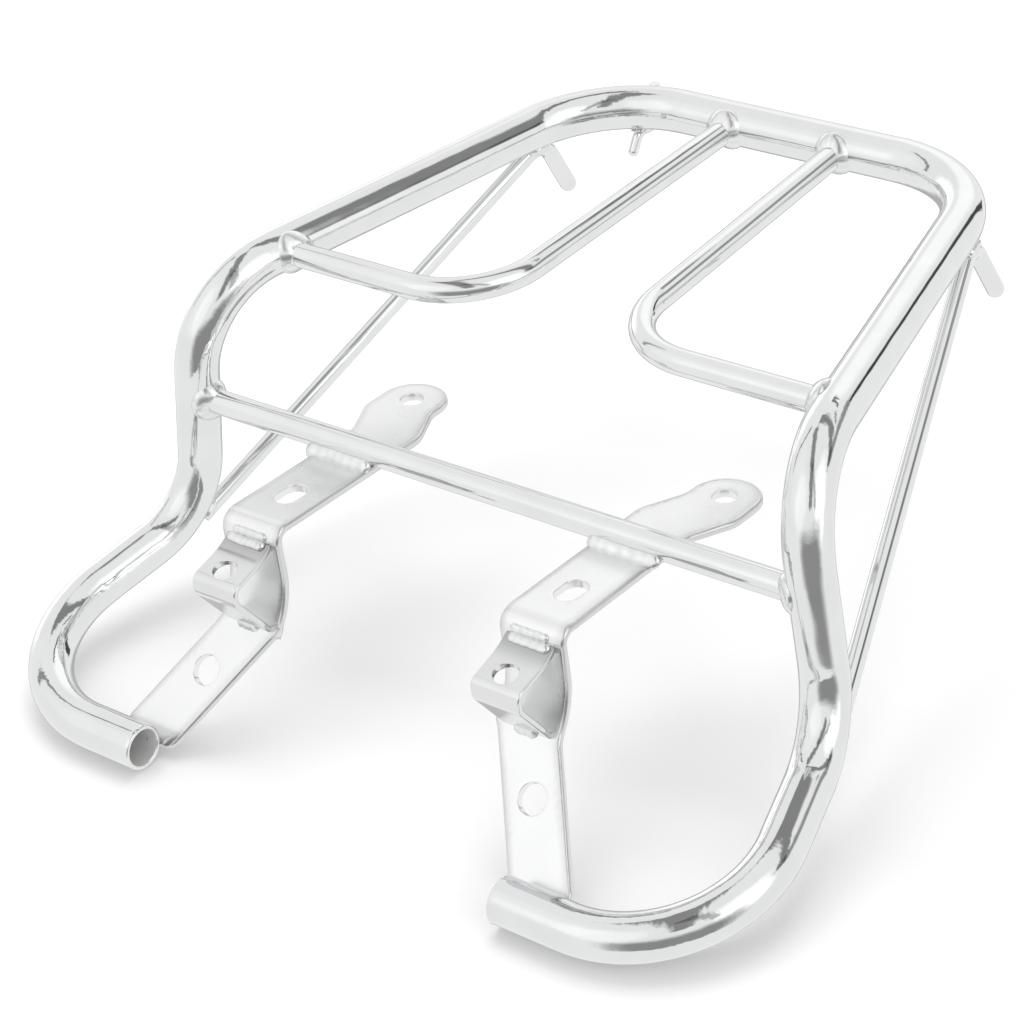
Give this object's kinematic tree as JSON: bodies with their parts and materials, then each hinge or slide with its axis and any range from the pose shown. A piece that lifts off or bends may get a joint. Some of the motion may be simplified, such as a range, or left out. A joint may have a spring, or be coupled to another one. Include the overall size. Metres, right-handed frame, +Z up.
{
  "type": "motorcycle luggage rack",
  "caption": "Chrome tubular rear carrier whose bent tube holds a barred deck, folded mounting straps with clips, braces that end in tie-down pegs, and a tie hook.",
  "frame": {"origin": "centre of the rack's bounding box, on the middle line of the motorcycle", "axes": "+Z up, square to the level deck; -Y towards the front of the motorcycle; +X towards the rider's left"},
  "size_m": [0.3084, 0.3068, 0.1261],
  "materials": {
    "chrome": "polished",
    "plated_weld": "rough weld bead under chrome plating"
  },
  "bodies": {
    "root": {"main_tube": "chrome", "cross_bar": "chrome", "tie_hook": "chrome", "left_deck_bar": "chrome", "right_deck_bar": "chrome", "left_strap": "chrome", "right_strap": "chrome", "left_clip": "chrome", "right_clip": "chrome", "left_brace": "chrome", "right_brace": "chrome", "tie_hook_weld": "plated_weld", "left_cross_bar_weld": "plated_weld", "right_cross_bar_weld": "plated_weld", "left_deck_bar_front_weld": "plated_weld", "right_deck_bar_front_weld": "plated_weld", "left_deck_bar_rear_weld": "plated_weld", "right_deck_bar_rear_weld": "plated_weld", "left_strap_weld": "plated_weld", "right_strap_weld": "plated_weld", "left_clip_top_weld": "plated_weld", "right_clip_top_weld": "plated_weld", "left_clip_low_weld": "plated_weld", "right_clip_low_weld": "plated_weld", "left_foot_weld": "plated_weld", "right_foot_weld": "plated_weld", "left_brace_foot_weld": "plated_weld", "right_brace_foot_weld": "plated_weld", "left_brace_top_weld": "plated_weld", "right_brace_top_weld": "plated_weld"}
  },
  "joints": []
}
